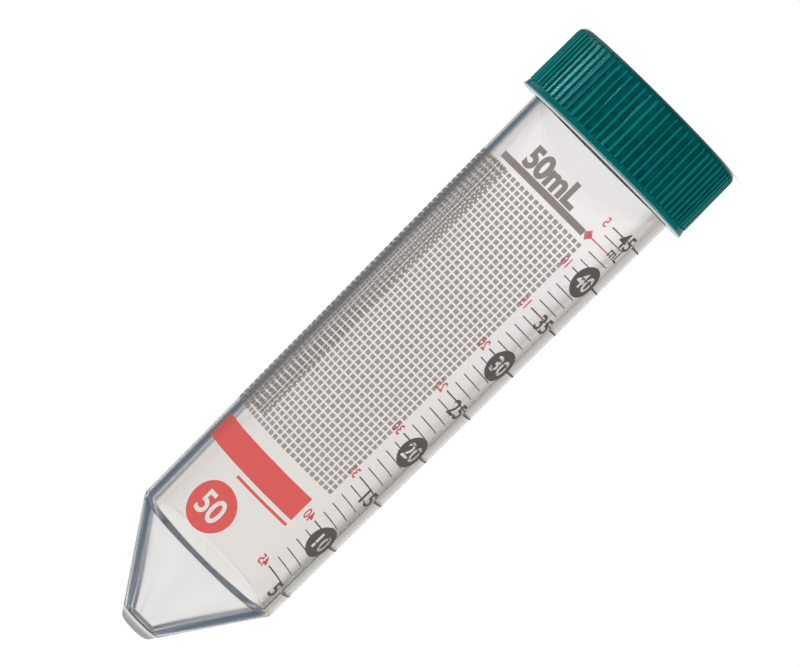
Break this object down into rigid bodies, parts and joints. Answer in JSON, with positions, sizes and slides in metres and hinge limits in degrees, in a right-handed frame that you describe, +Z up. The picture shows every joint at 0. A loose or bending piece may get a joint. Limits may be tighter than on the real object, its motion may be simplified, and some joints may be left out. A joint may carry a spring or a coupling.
{
  "type": "50 ml conical tube",
  "caption": "Clear 50 ml conical tube with a ribbed teal screw cap, a printed scale and a writing panel, standing on its cap with the tip up.",
  "frame": {"origin": "middle of the cap's flat top, on the surface that the capped tube stands on upside down", "axes": "+Z up the tube's axis from the cap to the tip; -Y is the front, where the writing panel and the marks are; -X is the side with the scale's numbers and ticks"},
  "size_m": [0.0342, 0.0342, 0.1165],
  "materials": {
    "cap_plastic": "moulded polyethylene, satin gloss",
    "clear_plastic": "clear moulded polymer, smooth and glossy",
    "dark_ink": "screen-printed ink",
    "red_ink": "screen-printed ink",
    "pale_ink": "screen-printed ink"
  },
  "bodies": {
    "cap": {"cap": "cap_plastic"},
    "tube": {"tube": "clear_plastic", "scale_print": "dark_ink", "reverse_scale_print": "red_ink", "writing_panel": "pale_ink", "grey_mark": "dark_ink", "red_mark": "red_ink"}
  },
  "joints": [
    {"name": "tube_lift", "type": "slide", "parent": "cap", "child": "tube", "axis": [0, 0, 1], "range_m": [0, 0.03]}
  ]
}
